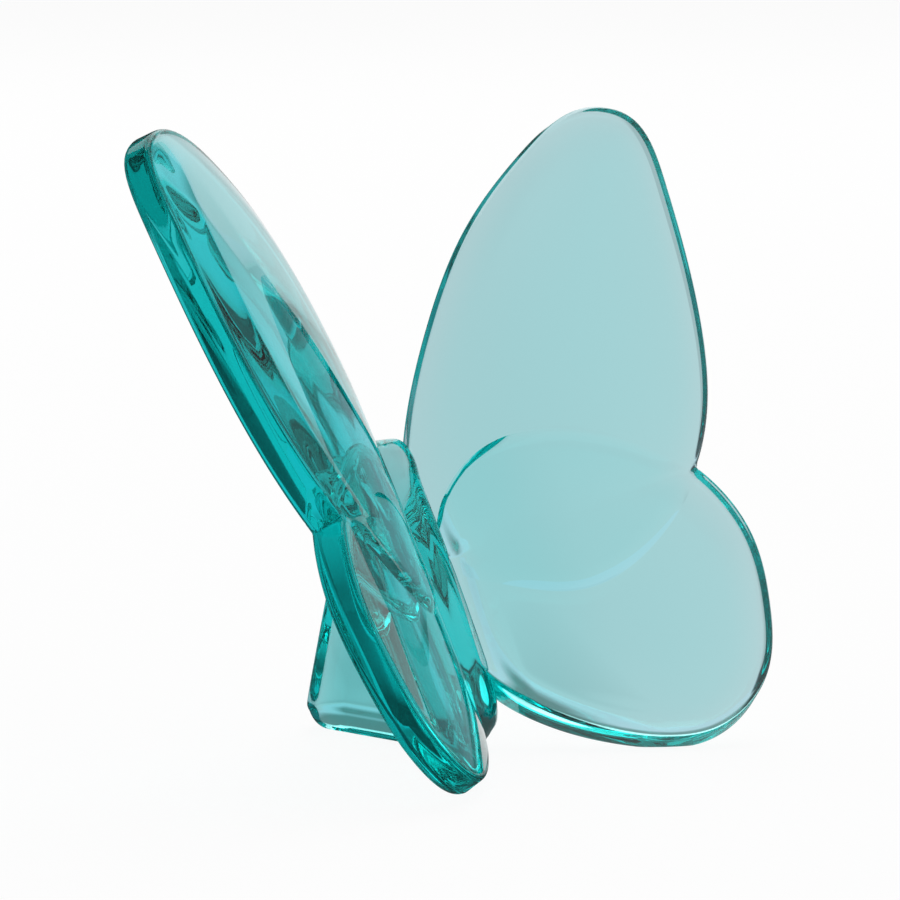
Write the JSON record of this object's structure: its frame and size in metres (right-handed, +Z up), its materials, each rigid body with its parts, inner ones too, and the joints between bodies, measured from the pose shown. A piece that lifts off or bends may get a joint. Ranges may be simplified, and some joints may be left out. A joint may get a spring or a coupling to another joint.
{
  "type": "butterfly ornament",
  "caption": "Clear turquoise glass butterfly that stands on the flat foot of its body and the lower rims of its hindwings, with tall flared wings set in a V.",
  "frame": {"origin": "on the surface it stands on, under the middle of its box", "axes": "+Z up, -Y towards the open side of the wings, +X towards its right wing as seen from there, mirror plane at X = 0"},
  "size_m": [0.0758, 0.0405, 0.0653],
  "materials": {
    "glass": "fire-polished clear turquoise crystal glass, tinted through its thickness"
  },
  "bodies": {
    "root": {"body": "glass", "right_forewing": "glass", "right_hindwing": "glass", "left_forewing": "glass", "left_hindwing": "glass"}
  },
  "joints": []
}
